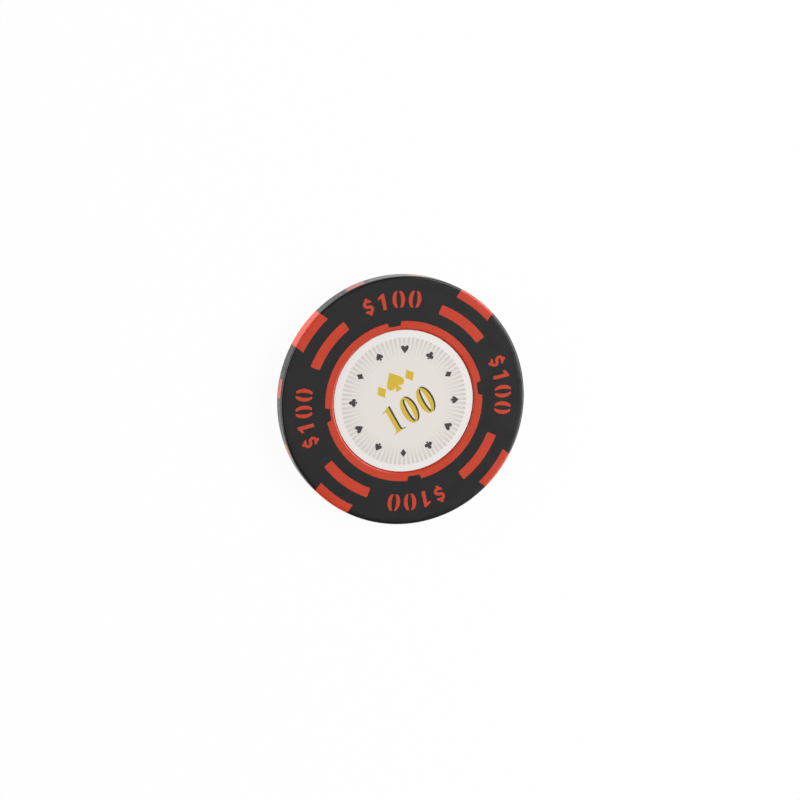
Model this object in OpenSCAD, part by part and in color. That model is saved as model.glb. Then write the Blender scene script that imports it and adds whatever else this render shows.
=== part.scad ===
// Poker chip: a two-colour moulded disc with a steel weight inside it and a
// round label let into each face. It lies on its back face, with +Z up.
// Both faces are alike, so the back is the front turned over about the X axis.

/* [Chip] */
// Outside diameter of the chip
chip_d = 40; // [36:0.5:48]
// Radius of the rounded edge between each face and the rim
edge_r = 0.4; // [0.2:0.05:0.6]
// Radial width of the gentle slope on each face just inside the rounded edge
slope_w = 0.55; // [0.2:0.05:0.8]
// Angle of that slope
slope_angle = 7; // [2:1:12]

/* [Steel weight] */
// Thickness of the steel disc
weight_t = 1.8; // [1:0.1:2.6]
// Core wall over each face of the steel disc
cover_wall = 0.4; // [0.3:0.05:0.8]
// Core wall round the edge of the steel disc
side_wall = 3.5; // [1:0.25:6]
// Diameter of the holes left by the mould pins that held the disc
pin_d = 2; // [1:0.25:3]
// Number of pin holes in each face
pin_count = 4; // [3:1:6]
// Distance from the wall of the label seat to the middle of a pin hole
pin_inset = 4.5; // [2:0.25:6]

/* [Label] */
// Width of the moulded band between the rim and the label seat
face_band = 8.5; // [8.4:0.05:10]
// Depth of the label seat below the face
seat_depth = 0.4; // [0.35:0.05:0.6]
// Radius of the rounded lip of the label seat
lip_r = 0.3; // [0.1:0.05:0.3]
// Gap between the label and the wall of its seat
label_gap = 0.1; // [0.05:0.05:0.3]
// Thickness of the adhesive
adhesive_t = 0.04; // [0.02:0.01:0.06]
// Thickness of the printed stock
stock_t = 0.12; // [0.08:0.01:0.14]
// Thickness of the clear film over the print
film_t = 0.05; // [0.02:0.01:0.06]

/* [Core] */
// Black wall between the core and the rim
rim_wall = 1.4; // [1:0.1:1.6]
// Number of edge spots, bars and groups of figures on each face
group_count = 4; // [2:1:5]

/* [Ring round the label] */
// Radial width of the ring
ring_w = 1.4; // [1:0.05:1.6]
// Depth of the notch in the ring under each group of figures
notch_depth = 0.75; // [0.3:0.05:0.9]
// Width of the notch at its floor
notch_floor_w = 1.85; // [1:0.05:2.3]
// Width of the notch at the outside of the ring
notch_mouth_w = 2.35; // [1.5:0.05:3]

/* [Edge spots] */
// Width of a spot, between its straight sides
spot_w = 6.5; // [4:0.1:8]
// How far a spot reaches in from the rim on the faces
spot_reach = 1.55; // [0.9:0.05:1.7]
// Length of the small dashes on the rim
dash_w = 3; // [1.5:0.1:4]
// Height of the dashes
dash_h = 1.5; // [0.6:0.1:1.8]
// Angle from the middle of a spot to each of its two dashes
dash_angle = 30; // [24:1:34]

/* [Bars] */
// Distance from the rim to the outside of a bar
bar_inset = 3.55; // [2.8:0.05:4]
// Radial width of a bar
bar_w = 1.6; // [1:0.05:2]
// Angle that a bar covers
bar_sweep = 31; // [20:1:40]
// Radius of a bar's corners
bar_corner_r = 0.2; // [0.1:0.05:0.4]

/* [Figures] */
// Distance from the rim to the middle of the figures
figure_inset = 3.62; // [3.4:0.02:3.9]
// Height of the figures
figure_h = 2.65; // [2.2:0.05:2.9]
// Width of a nought
nought_w = 2.07; // [1.8:0.01:2.3]
// Gap between one nought and the next; every figure takes the room of a nought
figure_gap = 0.5; // [0.3:0.05:0.7]
// Width of a nought's opening at half height
nought_gap_mid = 0.78; // [0.6:0.01:0.9]
// Width of a nought's opening at its ends
nought_gap_end = 0.28; // [0.2:0.01:0.4]
// Width of a nought's strokes at their ends
nought_tip_w = 0.4; // [0.3:0.01:0.5]
// Width of the stem of the one
stem_w = 0.58; // [0.4:0.02:0.8]
// How far the flag of the one stands out from its stem
flag_reach = 0.55; // [0.3:0.05:0.8]
// Distance from the top of the one down to the tip of its flag
flag_drop = 0.5; // [0.3:0.05:0.8]
// Thickness of the flag at its tip
flag_t = 0.4; // [0.2:0.05:0.5]
// Height of the dollar sign without its ticks
dollar_h = 2.3; // [2:0.05:2.4]
// Length of the straight run between the round sides of each bowl of the dollar sign
dollar_run = 0.1; // [0.06:0.01:0.3]
// Width of the stroke of the dollar sign
dollar_stroke = 0.5; // [0.4:0.02:0.56]
// How far the free end of each bowl stops short of the bowl's middle
dollar_opening = 0.12; // [0.04:0.01:0.16]
// How far the ticks stand out above and below the dollar sign
tick_reach = 0.27; // [0.15:0.01:0.4]
// Width of the ticks
tick_w = 0.46; // [0.3:0.02:0.6]

/* [Hidden] */

black = "#302f30";
red = "#c84a36";
steel = "#8f9498";
stock_white = "#e2ddd9";
adhesive_tint = "#d8cfb4";
film_tint = [0.95, 0.95, 0.95, 0.35];

// Round shapes are true circles
$fn = 96;

chip_r = chip_d / 2;
chip_t = weight_t + 2 * (cover_wall + seat_depth);
mid_z = chip_t / 2;
// The slope ends at this radius, and the middle of the rounded edge lies this far in from the face
slope_end_r = chip_r - edge_r * (1 - sin(slope_angle));
slope_drop = slope_w * tan(slope_angle);
edge_z = slope_drop + edge_r * cos(slope_angle);
core_r = chip_r - rim_wall;
core_t = chip_t - 2 * seat_depth;
weight_r = core_r - side_wall;
seat_r = chip_r - face_band;
label_r = seat_r - label_gap;
ring_r = seat_r + ring_w;
pin_circle_r = seat_r - pin_inset;
bar_out_r = chip_r - bar_inset;
bar_in_r = bar_out_r - bar_w;
figure_r = chip_r - figure_inset;
figure_step = nought_w + figure_gap;
group_angle = 360 / group_count;
// Spots and dashes are rooted in the core at this radius, and inlays at this depth
root_r = core_r - side_wall / 2;
inlay_root = cover_wall / 2;
// Cuts and inlays run this far past the face that they pass through
overcut = chip_t / 4;

// Radius of the arc that has this half chord and this rise
function arc_r(half_chord, rise) = (half_chord * half_chord + rise * rise) / (2 * rise);

// Angle that an arc length takes at a radius
function arc_angle(length, r) = length / r * 180 / PI;

// Turns its children to the middle of each group of figures, which lies on +Y first
module each_group() {
    for (i = [0 : group_count - 1]) rotate(i * group_angle) children();
}

// Turns its children to the middle of each edge spot, between two groups
module each_spot() {
    rotate(group_angle / 2) each_group() children();
}

// Turns its children over from the front face to the back
module on_back() {
    translate([0, 0, chip_t]) rotate([180, 0, 0]) children();
}

module both_faces() {
    children();
    on_back() children();
}

// Half section of a disc with gently sloped and rounded edges
module disc_section() {
    flat_r = slope_end_r - slope_w;
    polygon([
        [0, 0], [flat_r, 0], [slope_end_r, slope_drop],
        [slope_end_r, chip_t - slope_drop], [flat_r, chip_t], [0, chip_t]
    ]);
    translate([0, edge_z]) square([chip_r, chip_t - 2 * edge_z]);
    for (z = [edge_z, chip_t - edge_z]) translate([chip_r - edge_r, z]) circle(edge_r);
}

// Half section of the label seat in the front face, flared to leave a rounded lip
module seat_section() {
    translate([0, chip_t - seat_depth]) square([seat_r, seat_depth + overcut]);
    difference() {
        translate([0, chip_t - lip_r]) square([seat_r + lip_r, lip_r + overcut]);
        translate([seat_r + lip_r, chip_t - lip_r]) circle(lip_r);
    }
}

// Whole chip as one plain disc with a label seat in each face
module blank() {
    rotate_extrude() difference() {
        disc_section();
        seat_section();
        translate([0, chip_t]) mirror([0, 1]) seat_section();
    }
}

module left_nought_stroke() {
    half_h = figure_h / 2;
    out_x = nought_w / 2;
    in_x = nought_gap_mid / 2;
    out_r = arc_r(half_h, out_x - nought_gap_end / 2 - nought_tip_w);
    in_r = arc_r(half_h, in_x - nought_gap_end / 2);
    difference() {
        intersection() {
            translate([out_r - out_x, 0]) circle(out_r);
            square([2 * nought_w, figure_h], center = true);
        }
        translate([in_r - in_x, 0]) circle(in_r);
    }
}

// Nought in two strokes that stay apart, so that no island is cut off inside it
module nought() {
    left_nought_stroke();
    mirror([1, 0]) left_nought_stroke();
}

module one() {
    top = figure_h / 2;
    tip_x = -stem_w / 2 - flag_reach;
    tip_y = top - flag_drop;
    polygon([
        [-stem_w / 2, -top], [stem_w / 2, -top], [stem_w / 2, top], [0, top],
        [tip_x, tip_y], [tip_x, tip_y - flag_t], [-stem_w / 2, top - flag_drop - flag_t / 2]
    ]);
}

// Round-ended loop, centred on the origin
module loop_outline(r, half_run) {
    for (x = [-half_run, half_run]) translate([x, 0]) circle(r);
    square([2 * half_run, 2 * r], center = true);
}

// Upper half of the dollar sign, open at the lower right
module upper_bowl() {
    out_r = (dollar_h + dollar_stroke) / 4;
    in_r = out_r - dollar_stroke;
    half_run = dollar_run / 2;
    translate([0, out_r - dollar_stroke / 2]) difference() {
        loop_outline(out_r, half_run);
        loop_outline(in_r, half_run);
        translate([in_r / 2, -2 * out_r]) square([2 * out_r, 2 * out_r + dollar_opening]);
    }
}

module dollar() {
    for (turn = [0, 180]) rotate(turn) {
        upper_bowl();
        translate([-tick_w / 2, dollar_h / 2 - dollar_stroke / 2])
            square([tick_w, dollar_stroke / 2 + tick_reach]);
    }
}

// One group of figures, centred on +Y, with their tops outwards; the first nought stands nearer the one
module figures() {
    step = arc_angle(figure_step, figure_r);
    rotate(1.5 * step) translate([0, figure_r]) dollar();
    rotate(0.5 * step) translate([0, figure_r]) one();
    for (place = [0.46, 1.5]) rotate(-place * step) translate([0, figure_r]) nought();
}

module ring() {
    difference() {
        circle(ring_r);
        each_group() notch();
    }
}

// Notch in the outside of the ring, on +Y
module notch() {
    floor_r = ring_r - notch_depth;
    widen = (notch_mouth_w - notch_floor_w) / 2;
    // The sloping sides run on to twice the depth, past the ring's curve
    far_w = notch_mouth_w / 2 + widen;
    polygon([
        [-notch_floor_w / 2, floor_r], [notch_floor_w / 2, floor_r],
        [far_w, floor_r + 2 * notch_depth], [-far_w, floor_r + 2 * notch_depth]
    ]);
}

// Points round one corner of a bar, from its end face on to past its inside or outside edge
function corner_points(middle_r, way) =
    let (
        half = bar_sweep / 2,
        turn = half - asin(bar_corner_r / middle_r),
        middle = middle_r * [sin(turn), cos(turn)],
        along = [cos(half), -sin(half)],
        across = way * [sin(half), cos(half)],
        arc = [for (a = [0, 30, 60, 90]) middle + bar_corner_r * (cos(a) * along + sin(a) * across)]
    )
    [arc[0], arc[1], arc[2], 2 * arc[3] - arc[2]];

// Bar centred on +Y: a slice of a ring with rounded corners
module bar() {
    outside = corner_points(bar_out_r - bar_corner_r, 1);
    inside = corner_points(bar_in_r + bar_corner_r, -1);
    last = len(inside) - 1;
    right_end = concat([for (i = [last : -1 : 0]) inside[i]], outside);
    left_end = [for (i = [len(right_end) - 1 : -1 : 0]) [-right_end[i].x, right_end[i].y]];
    intersection() {
        difference() {
            circle(bar_out_r);
            circle(bar_in_r);
        }
        // The top of the outline runs over the outside of the ring
        polygon(concat(right_end, [[0, 2 * bar_out_r]], left_end));
    }
}

// Everything of the core that shows on one face
module face_inlay() {
    ring();
    each_group() figures();
    each_spot() bar();
}

// Edge spot on +Y: full height at the rim, with a root that ties it to the core
module spot() {
    translate([0, 0, -overcut]) linear_extrude(chip_t + 2 * overcut) difference() {
        translate([-spot_w / 2, 0]) square([spot_w, chip_r + overcut]);
        circle(chip_r - spot_reach);
    }
    translate([-spot_w / 2, root_r, seat_depth]) cube([spot_w, chip_r + overcut - root_r, core_t]);
}

// Dash on +Y: a short rib from the core to the rim, at half height
module dash() {
    translate([-dash_w / 2, root_r, mid_z - dash_h / 2]) cube([dash_w, chip_r + overcut - root_r, dash_h]);
}

// Core before its faces and rim are trimmed to the chip
module core_mass() {
    translate([0, 0, seat_depth]) cylinder(r = core_r, h = core_t);
    both_faces() translate([0, 0, chip_t - seat_depth - inlay_root])
        linear_extrude(inlay_root + seat_depth + overcut) face_inlay();
    each_spot() {
        spot();
        for (side = [-1, 1]) rotate(side * dash_angle) dash();
    }
}

// Holes of the mould pins, from the weight out through the floor of the front seat
module pin_holes() {
    for (i = [0 : pin_count - 1]) rotate(i * 360 / pin_count) translate([pin_circle_r, 0, mid_z])
        cylinder(d = pin_d, h = mid_z - seat_depth + overcut);
}

module weight_disc() {
    translate([0, 0, seat_depth + cover_wall]) cylinder(r = weight_r, h = weight_t);
}

// One layer of the label; bottom is measured up from the floor of the seat
module label_layer(bottom, thickness) {
    translate([0, 0, chip_t - seat_depth + bottom]) cylinder(r = label_r, h = thickness);
}

module adhesive() {
    color(adhesive_tint) label_layer(0, adhesive_t);
}

module label() {
    color(stock_white) label_layer(adhesive_t, stock_t);
}

module film() {
    color(film_tint) label_layer(adhesive_t + stock_t, film_t);
}

module steel_weight() {
    color(steel) weight_disc();
}

module red_core() {
    color(red) difference() {
        intersection() {
            blank();
            core_mass();
        }
        weight_disc();
        both_faces() pin_holes();
    }
}

module black_body() {
    color(black) difference() {
        blank();
        core_mass();
    }
}

steel_weight();
red_core();
black_body();
adhesive();  // front_adhesive
label();  // front_label
film();  // front_film
on_back() adhesive();  // back_adhesive
on_back() label();  // back_label
on_back() film();  // back_film
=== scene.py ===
"""Poker chip: a two-shot moulding round a steel weight, with a printed label let into each face.

The CAD frame gives the sizes and places. This script eases the moulded edges, prints and
laminates the labels, gives every piece its material, and sets a small studio at the
photograph's angle.
"""

import math

import bmesh
import bpy
from mathutils import Matrix, Vector


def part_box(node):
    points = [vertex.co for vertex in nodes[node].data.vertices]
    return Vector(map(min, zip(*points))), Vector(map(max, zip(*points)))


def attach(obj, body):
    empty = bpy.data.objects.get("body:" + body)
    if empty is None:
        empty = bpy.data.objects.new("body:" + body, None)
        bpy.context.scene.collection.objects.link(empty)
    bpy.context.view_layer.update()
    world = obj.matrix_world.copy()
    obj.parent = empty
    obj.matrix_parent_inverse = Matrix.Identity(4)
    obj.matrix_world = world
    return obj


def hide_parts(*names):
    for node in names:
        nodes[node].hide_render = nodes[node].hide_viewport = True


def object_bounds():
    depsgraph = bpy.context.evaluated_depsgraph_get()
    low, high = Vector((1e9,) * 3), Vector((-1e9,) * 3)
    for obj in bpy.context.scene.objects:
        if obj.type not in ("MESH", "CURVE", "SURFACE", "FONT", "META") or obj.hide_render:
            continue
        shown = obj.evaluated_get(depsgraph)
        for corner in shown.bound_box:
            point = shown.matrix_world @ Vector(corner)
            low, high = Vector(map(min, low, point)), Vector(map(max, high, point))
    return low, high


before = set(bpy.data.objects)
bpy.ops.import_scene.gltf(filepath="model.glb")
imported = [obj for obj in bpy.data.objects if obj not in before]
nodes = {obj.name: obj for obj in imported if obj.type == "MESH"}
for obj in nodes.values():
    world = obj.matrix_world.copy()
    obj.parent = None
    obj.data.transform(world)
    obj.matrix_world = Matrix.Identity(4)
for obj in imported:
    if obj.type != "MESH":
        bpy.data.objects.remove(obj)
cad_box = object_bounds()

MM = 0.001
BODY = "root"

# The chip's own sizes in millimetres, as the frame has them.
chip_r = cad_box[1].x / MM
chip_t = cad_box[1].z / MM
label_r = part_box("front_label")[1].x / MM
label_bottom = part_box("front_label")[0].z / MM
label_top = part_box("front_film")[1].z / MM

# Moulded edges, in millimetres.
ARRIS = 0.03        # radius on an edge where the two colours meet
EDGE_R = 0.4        # radius of the rounded edge between face and rim
SLOPE = math.radians(7)
SLOPE_W = 0.55      # width of the slope inside the rounded edge
slope_end = chip_r - EDGE_R * (1 - math.sin(SLOPE))
flat_end = slope_end - SLOPE_W
rim_depth = SLOPE_W * math.tan(SLOPE) + EDGE_R * math.cos(SLOPE)   # the straight rim starts here

# How the mouldings' meshes are cleaned and shaded; lengths in millimetres.
WELD = 0.005        # points closer than this are one point of the moulding
FACE_TOUCH = 0.01   # a point this close to a face's plane lies on that face
MERGE = math.radians(1)     # neighbours within this angle become one face
SHARP = math.radians(35)    # an edge in the faces that turns more than this is an arris
CREASE = math.radians(60)   # an edge that turns more than this stays sharp in the shading
LEVEL = 0.9999      # a face whose normal rises more than this is level
SMALL_FLAT = 0.5    # a level face under this many square millimetres is shaded flat
SAME_WAY = 0.6      # cosine under which a face isn't part of the chip's outside
AUTO = Vector()     # a corner with this normal keeps the one that Blender gives it

# The label and its print, in millimetres; the print is laid out for the front face.
LABEL_SIDES = 192
LABEL_EASE = 0.03                    # radius of the upper edge
LABEL_ASIDE = (-0.05, 0.06, 0)       # stuck a little off the middle of its seat
LABEL_TURN = math.radians(21.8)
INK_SINK = 0.01                      # how far an ink reaches into the label
DARK_INK = 0.006                     # how far it stands out of it
GOLD_INK = 0.012
INK_STEPS = 10                       # straight steps between two knots of an outline
INK_WELD = 0.002
SHADOW = Vector((0.31, 0.03, 0))     # from the gold figures to the dark ones
NUMERAL_Y = -1.68
NUMERAL_X = (-3.04, -0.02, 3.01)
CREST_SPADE = (0.2, 3.6, 3.3)        # middle's x and y, and height
CREST_DIAMONDS = (2.6, 3.2, 2.1)     # the same, to each side of the spade
PIP_H = 1.3
PIP_RING_R = 8.35
PIP_COUNT = 12
RAY_COUNT = 84
RAY_START = 6.8
RAY_FULL = 10.0
RAY_END = 10.1
RAY_FADE = 0.25                      # the way over which a ray ends
RAY_FLANK = 0.25                     # half of the wave's height over which a ray's side fades

# Patterns of the surfaces, in millimetres.
FLOW = 2.6          # streaks in the plastic's pigment
GRAIN = 0.1         # spark-eroded grain, really about 0.03, drawn larger so that it shows
GRAIN_DEPTH = 0.02
RUBBED_W = 0.7      # width of the zone at the rim that handling has rubbed
FIBRE = 0.4         # clouding of the paper, whose fibres are about 0.02 wide
FLAKE = 0.08        # flakes of the inks' pigment, really about 0.02, drawn larger so that they show
DENT = 0.5          # dents from tumbling
CLOUD = 1.5         # cloudiness of the adhesive

# Finish of the surfaces.
NOISE_SPAN = (0.3, 0.7)             # most of a noise's values lie between these
ABS_ROUGHNESS = (0.27, 0.32)
RIM_POLISH = 0.10                   # roughness that handling has taken off the rim
GRAIN_STRENGTH = (0.35, 0.10)       # on the faces, and on the rim
STEEL_ROUGHNESS = (0.3, 0.5)

# The photograph: an 800 by 800 image of a chip that lies turned on its face's axis.
IMAGE_PX = 800
PX_PER_MM = 6.306
FACE_CENTRE_PX = (404.42, 401.51)
PHOTO_TURN = math.radians(8.7)
VIEW_TILT = math.radians(18)
VIEW_SIDE = math.radians(147)
VIEW_DISTANCE = 400
SENSOR_MM = 36

# The studio, in millimetres; the photograph overexposes its white floor.
FLOOR_R = 3000
FLOOR_SIDES = 64
FLOOR_DROP = 0.02       # under the chip's back face
FLOOR_SEEN = 0.96       # share of the floor's own light where the camera sees it
FLOOR_MIRRORED = 0.5    # the same where the chip mirrors it
FLOOR_GLOW = 2.5        # strength of that light where it falls on the chip's rim
WALL_LIGHT = 0.12       # strength of the walls' light on the chip

# Sockets of a mix node for colours, which has several of each name.
MIX_SHARE, MIX_FIRST, MIX_SECOND, MIX_RESULT = 0, 6, 7, 2

# The way from the image's own axes, with the face's plane as the sheet, to the chip's.
image_to_chip = Matrix.Rotation(-PHOTO_TURN, 4, "Z")
# The back face is the front one turned over about the X axis.
turn_over = Matrix.Translation((0, 0, chip_t)) @ Matrix.Rotation(math.pi, 4, "X")


def linear(hex_colour):
    """An sRGB hex colour as the linear RGBA that a shader takes."""
    channels = [int(hex_colour[i:i + 2], 16) / 255 for i in (1, 3, 5)]
    return (*[c / 12.92 if c <= 0.04045 else ((c + 0.055) / 1.055) ** 2.4 for c in channels], 1)


def add(tree, kind, inputs=None, **settings):
    """A new node of that kind, with its options set and each input given a value or a link."""
    made = tree.nodes.new(kind)
    for option, value in settings.items():
        setattr(made, option, value)
    for socket, value in (inputs or {}).items():
        if isinstance(value, bpy.types.NodeSocket):
            tree.links.new(value, made.inputs[socket])
        else:
            made.inputs[socket].default_value = value
    return made


def calc(tree, operation, *values, **settings):
    """The result of one operation on values or sockets, as a socket."""
    node = add(tree, "ShaderNodeMath", dict(enumerate(values)), operation=operation, **settings)
    return node.outputs["Value"]


def mapped(tree, value, source=(0, 1), target=(0, 1), **settings):
    """A value's way along the source span as the same way along the target span, as a socket."""
    inputs = {"Value": value, "From Min": source[0], "From Max": source[1],
              "To Min": target[0], "To Max": target[1]}
    return add(tree, "ShaderNodeMapRange", inputs, **settings).outputs["Result"]


def blend(tree, share, first, second):
    """Two colours mixed, with that share of the second, as a socket."""
    inputs = {MIX_SHARE: share, MIX_FIRST: first, MIX_SECOND: second}
    return add(tree, "ShaderNodeMix", inputs, data_type="RGBA").outputs[MIX_RESULT]


def noise(tree, place, size, detail):
    """Soft noise with features of that size in millimetres, as a socket."""
    inputs = {"Vector": place, "Scale": 1 / (size * MM), "Detail": detail}
    return add(tree, "ShaderNodeTexNoise", inputs).outputs["Fac"]


def from_axis(tree, place):
    """How far a place is from the chip's axis, as a socket."""
    flat = add(tree, "ShaderNodeVectorMath", {0: place, 1: (1, 1, 0)}, operation="MULTIPLY")
    length = add(tree, "ShaderNodeVectorMath", {0: flat.outputs["Vector"]}, operation="LENGTH")
    return length.outputs["Value"]


def surface(name, **constants):
    """A new material with its shader's constants set, as (material, node tree, place)."""
    material = bpy.data.materials.new(name)
    material.use_nodes = True
    tree = material.node_tree
    shader = tree.nodes["Principled BSDF"]
    for socket, value in constants.items():
        shader.inputs[socket.replace("_", " ")].default_value = value
    return material, tree, add(tree, "ShaderNodeTexCoord").outputs["Object"]


def feed(tree, socket, value):
    """Link a value to an input of the material's shader."""
    tree.links.new(value, tree.nodes["Principled BSDF"].inputs[socket])


def moulded_abs(name, pigment, streak):
    """Mineral-filled ABS from a spark-eroded mould: satin, with a fine even grain that breaks up
    the highlights, faint streaks in the pigment, and a rim that handling has rubbed smoother."""
    material, tree, place = surface(name, IOR=1.54)
    flow = noise(tree, place, FLOW, 5)
    feed(tree, "Base Color", blend(tree, flow, linear(pigment), linear(streak)))

    radius = from_axis(tree, place)
    rim = ((chip_r - RUBBED_W) * MM, chip_r * MM)
    uneven = mapped(tree, flow, NOISE_SPAN, ABS_ROUGHNESS)
    rubbed = mapped(tree, radius, rim, (0, RIM_POLISH))
    feed(tree, "Roughness", calc(tree, "SUBTRACT", uneven, rubbed))

    bump = add(tree, "ShaderNodeBump", {
        "Height": noise(tree, place, GRAIN, 3),
        "Strength": mapped(tree, radius, rim, GRAIN_STRENGTH), "Distance": GRAIN_DEPTH * MM})
    feed(tree, "Normal", bump.outputs["Normal"])
    return material


def laminated_label():
    """Coated label paper under a clear gloss film: off-white, with fine grey rays printed round
    the middle, and the film's even sheen over the whole."""
    material, tree, place = surface("laminated_label_paper", Roughness=0.5, IOR=1.5,
                                    Coat_Weight=0.6, Coat_Roughness=0.15, Coat_IOR=1.49)
    axes = add(tree, "ShaderNodeSeparateXYZ", {"Vector": place})
    turn = calc(tree, "ARCTAN2", axes.outputs["Y"], axes.outputs["X"])
    wave = calc(tree, "SINE", calc(tree, "MULTIPLY", turn, RAY_COUNT))
    stripe = mapped(tree, wave, (-RAY_FLANK, RAY_FLANK), interpolation_type="SMOOTHSTEP")

    radius = from_axis(tree, place)
    fade_in = mapped(tree, radius, (RAY_START * MM, RAY_FULL * MM))
    margin = mapped(tree, radius, (RAY_END * MM, (RAY_END + RAY_FADE) * MM))
    inside = calc(tree, "SUBTRACT", fade_in, margin, use_clamp=True)
    rays = calc(tree, "MULTIPLY", stripe, inside)

    fibre = noise(tree, place, FIBRE, 4)
    paper = blend(tree, fibre, linear("#e6dfd9"), linear("#ede6e1"))
    bare = blend(tree, margin, paper, linear("#efebe8"))
    feed(tree, "Base Color", blend(tree, rays, bare, linear("#d4cdc9")))
    return material


def printing_ink(name, body, fleck, roughness):
    """Screen-printed ink: opaque and satin, with the fine flecks of its pigment."""
    material, tree, place = surface(name, Roughness=roughness, IOR=1.5,
                                    Coat_Weight=0.4, Coat_Roughness=0.15)
    flakes = noise(tree, place, FLAKE, 2)
    feed(tree, "Base Color", blend(tree, flakes, linear(body), linear(fleck)))
    return material


def tumbled_steel():
    """Stamped low-carbon steel, tumbled: bright grey with a soft random lay of fine dents."""
    material, tree, place = surface("tumbled_steel", Metallic=1.0)
    dents = noise(tree, place, DENT, 4)
    feed(tree, "Base Color", blend(tree, dents, linear("#b4b5b6"), linear("#cacbcc")))
    feed(tree, "Roughness", mapped(tree, dents, target=STEEL_ROUGHNESS))
    return material


def acrylic_adhesive():
    """Pressure-sensitive acrylic adhesive: a clear yellowish layer with a faint cloudiness."""
    material, tree, place = surface("acrylic_adhesive", Roughness=0.3, IOR=1.47)
    cloud = noise(tree, place, CLOUD, 3)
    feed(tree, "Base Color", blend(tree, cloud, linear("#d8cfb0"), linear("#e2dac0")))
    return material


def white_floor():
    """White studio paper: it shows as white, also in reflections, and lights the rim from below."""
    material = bpy.data.materials.new("white_studio_paper")
    material.use_nodes = True
    tree = material.node_tree
    tree.nodes.remove(tree.nodes["Principled BSDF"])
    ray = add(tree, "ShaderNodeLightPath").outputs
    lighting = ray["Is Diffuse Ray"]
    seen = calc(tree, "MULTIPLY", ray["Is Camera Ray"], FLOOR_SEEN)
    mirrored = calc(tree, "MAXIMUM", ray["Is Glossy Ray"], ray["Is Transmission Ray"])
    shown = calc(tree, "MULTIPLY_ADD", mirrored, FLOOR_MIRRORED, seen)
    share = calc(tree, "MAXIMUM", shown, lighting)

    strength = mapped(tree, lighting, target=(1, FLOOR_GLOW))
    glow = add(tree, "ShaderNodeEmission", {"Color": linear("#ffffff"), "Strength": strength})
    paper = add(tree, "ShaderNodeBsdfDiffuse", {"Color": linear("#f6f6f6")})
    both = add(tree, "ShaderNodeMixShader", {
        0: share, 1: paper.outputs["BSDF"], 2: glow.outputs["Emission"]})
    tree.links.new(both.outputs["Shader"], tree.nodes["Material Output"].inputs["Surface"])
    return material


def put(name, data):
    """A new object in the scene."""
    made = bpy.data.objects.new(name, data)
    bpy.context.scene.collection.objects.link(made)
    return made


def mesh_of(name, bm, material):
    """A mesh from a finished shape, in its material."""
    mesh = bpy.data.meshes.new(name)
    bm.to_mesh(mesh)
    bm.free()
    mesh.materials.append(material)
    return mesh


def piece(name, bm, material):
    """A finished piece from a shape in millimetres, on the chip's body."""
    bmesh.ops.scale(bm, vec=(MM, MM, MM), verts=bm.verts)
    made = put(name, mesh_of(name, bm, material))
    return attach(made, BODY)


def on_face(place):
    """True for a place in the plane of the chip's front or back face."""
    return min(place.z, chip_t - place.z) < FACE_TOUCH


def edge_normal(place):
    """The way out of the chip at a place on its sloped or rounded edge or its rim, or None
    further in."""
    reach = place.xy.length
    depth = min(place.z, chip_t - place.z)
    if reach < flat_end - FACE_TOUCH or (reach < slope_end and depth > rim_depth):
        return None
    if reach < slope_end:
        tilt = SLOPE * max(0, reach - flat_end) / SLOPE_W
    else:
        tilt = math.atan2(reach - (chip_r - EDGE_R), max(0, rim_depth - depth))
    out = place.xy / reach * math.sin(tilt)
    return Vector((*out, math.copysign(math.cos(tilt), place.z - chip_t / 2)))


def shade_edges(made):
    """Even shading: true normals on the edges and the rim, and level faces that stay level."""
    mesh = made.data
    true_normals = [edge_normal(vertex.co / MM) for vertex in mesh.vertices]
    inner = made.vertex_groups.new(name="inside_the_edges")
    inner.add([i for i, normal in enumerate(true_normals) if normal is None], 1, "REPLACE")
    weighted = made.modifiers.new("face_weighted_shading", "WEIGHTED_NORMAL")
    weighted.keep_sharp = True
    weighted.vertex_group = inner.name

    normals = [AUTO] * len(mesh.loops)
    for face in mesh.polygons:
        middle = face.center / MM
        outward = edge_normal(middle)
        on_the_edge = outward is not None and outward.dot(face.normal) > SAME_WAY
        level = on_face(middle) and abs(face.normal.z) > LEVEL
        if on_the_edge or level:
            for corner in face.loop_indices:
                normals[corner] = true_normals[mesh.loops[corner].vertex_index] or AUTO
    mesh.normals_split_custom_set(normals)


def moulding(name, node, material):
    """One shot of plastic in its CAD shape, with a fine radius on every edge in the two faces."""
    bm = bmesh.new()
    bm.from_mesh(nodes[node].data)
    bmesh.ops.scale(bm, vec=(1 / MM, 1 / MM, 1 / MM), verts=bm.verts)
    bmesh.ops.remove_doubles(bm, verts=bm.verts, dist=WELD)
    bmesh.ops.dissolve_limit(bm, angle_limit=MERGE, verts=bm.verts, edges=bm.edges)
    arrises = [edge for edge in bm.edges
               if edge.calc_face_angle(0) > SHARP and all(on_face(v.co) for v in edge.verts)]
    bmesh.ops.bevel(bm, geom=arrises, offset=ARRIS, offset_type="OFFSET", segments=2, profile=0.5,
                    affect="EDGES", clamp_overlap=False, loop_slide=False, material=-1)
    for face in bm.faces:
        face.smooth = abs(face.normal.z) < LEVEL or face.calc_area() > SMALL_FLAT
    for edge in bm.edges:
        edge.smooth = edge.calc_face_angle(0) < CREASE
    made = piece(name, bm, material)
    shade_edges(made)
    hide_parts(node)


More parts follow.
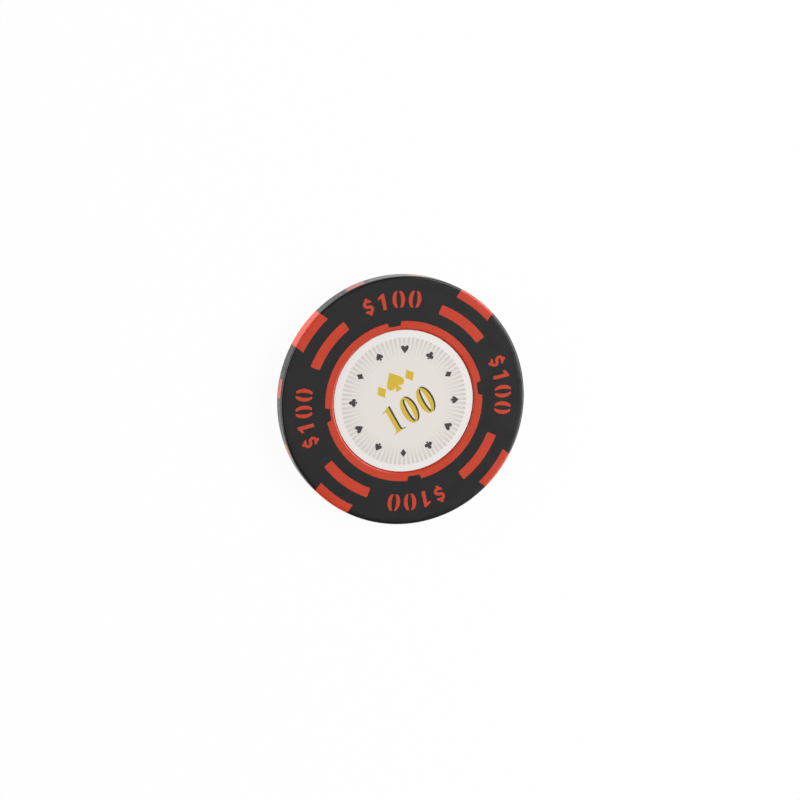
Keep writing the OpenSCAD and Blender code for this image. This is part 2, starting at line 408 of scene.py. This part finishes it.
def label(name, place, material, *covered):
    """The label paper with its film: a disc whose upper edge the die has pressed down a little."""
    bm = bmesh.new()
    bmesh.ops.create_circle(bm, cap_ends=True, segments=LABEL_SIDES, radius=label_r)
    raised = bmesh.ops.extrude_face_region(bm, geom=bm.faces[:])["geom"]
    bmesh.ops.translate(bm, vec=(0, 0, label_top - label_bottom),
                        verts=[g for g in raised if isinstance(g, bmesh.types.BMVert)])
    upper_edge = [g for g in raised if isinstance(g, bmesh.types.BMEdge)]
    bmesh.ops.bevel(bm, geom=upper_edge, offset=LABEL_EASE, offset_type="OFFSET", segments=3,
                    profile=0.5, affect="EDGES", clamp_overlap=True, material=-1)
    bmesh.ops.recalc_face_normals(bm, faces=bm.faces)
    bmesh.ops.translate(bm, vec=(0, 0, label_bottom), verts=bm.verts)
    bm.transform(place @ Matrix.Translation(LABEL_ASIDE))
    made = piece(name, bm, material)
    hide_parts(*covered)


def ellipse(half_w, half_h):
    """An oval outline as knots (x, y, pull x, pull y)."""
    k = 0.5523   # a pull of this share of the radius makes a quarter of a circle
    return [(half_w, 0, 0, k * half_h), (0, half_h, -k * half_w, 0),
            (-half_w, 0, 0, -k * half_h), (0, -half_h, k * half_w, 0)]


def both_sides(right_half):
    """A symmetric outline from its right half, listed from the top of the axis down."""
    # The left half is mirrored and runs the other way, so only a pull's y changes its sign.
    left_half = [(-x, y, *[pull * sign for pull, sign in zip(pulls, (1, -1))])
                 for x, y, *pulls in reversed(right_half) if x > 0]
    return right_half + left_half


# Outlines in millimetres about their middle; a knot with no pull is a corner.
NOUGHT = [ellipse(1.12, 2.29), ellipse(0.42, 2.06)]
ONE = [[
    (0.33, 2.26), (0.10, 2.26), (-0.42, 1.97, -0.2, -0.09), (-0.93, 1.83), (-0.93, 1.70),
    (-0.56, 1.72, 0.12, 0), (-0.33, 1.47, 0, -0.12), (-0.33, -1.72, 0, -0.12),
    (-0.57, -2.03, -0.12, -0.02), (-0.93, -2.06), (-0.93, -2.19), (0.93, -2.19), (0.93, -2.06),
    (0.57, -2.03, -0.12, 0.02), (0.33, -1.72, 0, 0.12)]]

# Suit pips, one unit high.
SPADE = [both_sides([
    (0, 0.5), (0.45, -0.10, 0, -0.14), (0.24, -0.32, -0.13, 0), (0.05, -0.20), (0.17, -0.5)])]
HEART = [both_sides([(0, 0.26), (0.25, 0.48, 0.15, 0), (0.48, 0.22, 0, -0.16), (0, -0.5)])]
CLUB = [both_sides([
    (0, 0.5, 0.127, 0), (0.23, 0.27, 0, -0.127), (0.13, 0.08), (0.265, 0.135, 0.13, 0),
    (0.5, -0.10, 0, -0.13), (0.265, -0.335, -0.13, 0), (0.05, -0.20), (0.17, -0.5)])]
DIAMOND = [both_sides([(0, 0.5), (0.38, 0), (0, -0.5)])]


def numerals(shift):
    """The value's figures in a row, moved by a shift."""
    return [(Matrix.Translation(Vector((x, NUMERAL_Y, 0)) + shift), outline)
            for x, outline in zip(NUMERAL_X, (ONE, NOUGHT, NOUGHT))]


def crest():
    """A spade between two diamonds, above the figures."""
    middle, spade_y, spade_h = CREST_SPADE
    aside, diamond_y, diamond_h = CREST_DIAMONDS
    stands = [(middle, spade_y, spade_h, SPADE),
              (middle - aside, diamond_y, diamond_h, DIAMOND),
              (middle + aside, diamond_y, diamond_h, DIAMOND)]
    return [(Matrix.Translation((x, y, 0)) @ Matrix.Scale(height, 4), outline)
            for x, y, height, outline in stands]


def pip_ring():
    """A ring of small suit pips that stand with their tops outwards."""
    suits = (SPADE, HEART, CLUB, DIAMOND)
    upright = Matrix.Translation((0, PIP_RING_R, 0)) @ Matrix.Scale(PIP_H, 4)
    return [(Matrix.Rotation(-math.tau * i / PIP_COUNT, 4, "Z") @ upright, suits[i % len(suits)])
            for i in range(PIP_COUNT)]


def trace(outline, stand, loop):
    """Add one closed loop of knots to a flat curve, in its place there."""
    spline = outline.splines.new("BEZIER")
    spline.bezier_points.add(len(loop) - 1)
    spline.use_cyclic_u = True
    for knot, (x, y, *pull) in zip(spline.bezier_points, loop):
        reach = stand.to_3x3() @ Vector((*(pull or (0, 0)), 0))
        knot.co = stand @ Vector((x, y, 0))
        knot.handle_left = knot.co - reach
        knot.handle_right = knot.co + reach


def printed_layer(name, shapes, height, place, material):
    """One colour of the print: outlines filled flat and given the ink's thickness on the label."""
    outline = bpy.data.curves.new(name, "CURVE")
    outline.dimensions = "2D"
    outline.fill_mode = "BOTH"
    outline.resolution_u = INK_STEPS
    outline.extrude = (INK_SINK + height) / 2
    for stand, loops in shapes:
        for loop in loops:
            trace(outline, stand, loop)
    sheet = bpy.data.objects.new(name, outline)
    bm = bmesh.new()
    bm.from_mesh(bpy.data.meshes.new_from_object(sheet))
    bpy.data.objects.remove(sheet)
    bmesh.ops.remove_doubles(bm, verts=bm.verts, dist=INK_WELD)
    bmesh.ops.recalc_face_normals(bm, faces=bm.faces)
    bm.transform(place @ Matrix.Translation((0, 0, label_top + (height - INK_SINK) / 2))
                 @ Matrix.Rotation(LABEL_TURN, 4, "Z"))
    piece(name, bm, material)


def dress_chip():
    """The two shots, the labels and their print, and the materials of what lies inside."""
    black = moulded_abs("moulded_abs_black", "#131213", "#171617")
    red = moulded_abs("moulded_abs_red", "#c8371a", "#ce3f22")
    paper = laminated_label()
    gold = printing_ink("gold_ink", "#d3b11c", "#dfbe34", 0.4)
    dark = printing_ink("dark_ink", "#362d2d", "#3f3535", 0.45)

    moulding("black_moulding", "black_body", black)
    moulding("red_moulding", "red_core", red)

    upright = Matrix.Identity(4)
    still = Vector((0, 0, 0))
    for side, place in (("front", upright), ("back", turn_over)):
        label(f"{side}_printed_label", place, paper, f"{side}_label", f"{side}_film")
        dark_shapes = numerals(SHADOW) + pip_ring()
        printed_layer(f"{side}_dark_print", dark_shapes, DARK_INK, place, dark)
        gold_shapes = numerals(still) + crest()
        printed_layer(f"{side}_gold_print", gold_shapes, GOLD_INK, place, gold)

    hidden = {"steel_weight": tumbled_steel(), "front_adhesive": acrylic_adhesive()}
    hidden["back_adhesive"] = hidden["front_adhesive"]
    for node, material in hidden.items():
        nodes[node].data.materials.clear()
        nodes[node].data.materials.append(material)


def camera():
    """The photograph's view: from the upper left, 18 degrees off the face's axis."""
    hinge = Vector((-math.sin(VIEW_SIDE), math.cos(VIEW_SIDE), 0))
    turn = Matrix.Rotation(VIEW_TILT, 4, hinge)
    across, up, back = (turn.to_3x3().col[i] for i in range(3))
    aside = (IMAGE_PX / 2 - FACE_CENTRE_PX[0]) / PX_PER_MM
    above = (FACE_CENTRE_PX[1] - IMAGE_PX / 2) / PX_PER_MM
    stand = Vector((0, 0, chip_t)) + across * aside + up * above + back * VIEW_DISTANCE
    lens = bpy.data.cameras.new("photo_camera")
    lens.sensor_width = SENSOR_MM
    lens.lens = PX_PER_MM * VIEW_DISTANCE / IMAGE_PX * SENSOR_MM
    made = put("photo_camera", lens)
    made.matrix_world = image_to_chip @ Matrix.Translation(stand * MM) @ turn
    bpy.context.scene.camera = made


def softbox(name, side, height, distance, width, depth, radiance):
    """A lamp that stands at that side of the image and height, in degrees, and faces the chip."""
    around = Matrix.Rotation(math.radians(side), 4, "Z")
    toward = around @ Matrix.Rotation(math.radians(90 - height), 4, "Y")
    lamp = bpy.data.lights.new(name, "AREA")
    lamp.shape = "RECTANGLE"
    lamp.size, lamp.size_y = depth * MM, width * MM
    lamp.energy = radiance * math.pi * lamp.size * lamp.size_y
    made = put(name, lamp)
    made.matrix_world = image_to_chip @ toward @ Matrix.Translation((0, 0, distance * MM))


def studio_walls():
    """Dim walls all round, which the camera sees as the white of the sweep."""
    world = bpy.data.worlds.new("studio_walls")
    world.use_nodes = True
    tree = world.node_tree
    background = tree.nodes["Background"]
    background.inputs["Color"].default_value = linear("#ffffff")
    seen = add(tree, "ShaderNodeLightPath").outputs["Is Camera Ray"]
    tree.links.new(mapped(tree, seen, target=(WALL_LIGHT, 1)), background.inputs["Strength"])
    bpy.context.scene.world = world


def studio():
    """Soft light from above and from the right, a low card on the left, and a white sweep."""
    softbox("ceiling_panel", side=0, height=90, distance=1000, width=750, depth=750, radiance=0.4)
    softbox("key_softbox", side=10, height=38, distance=900, width=1500, depth=600, radiance=4.75)
    softbox("low_card", side=172, height=10, distance=700, width=900, depth=250, radiance=4.0)
    studio_walls()

    bm = bmesh.new()
    bmesh.ops.create_circle(bm, cap_ends=True, segments=FLOOR_SIDES, radius=FLOOR_R * MM)
    floor = put("floor", mesh_of("floor", bm, white_floor()))
    floor.location.z = -FLOOR_DROP * MM


dress_chip()
camera()
studio()
bpy.context.scene.view_settings.view_transform = "Standard"
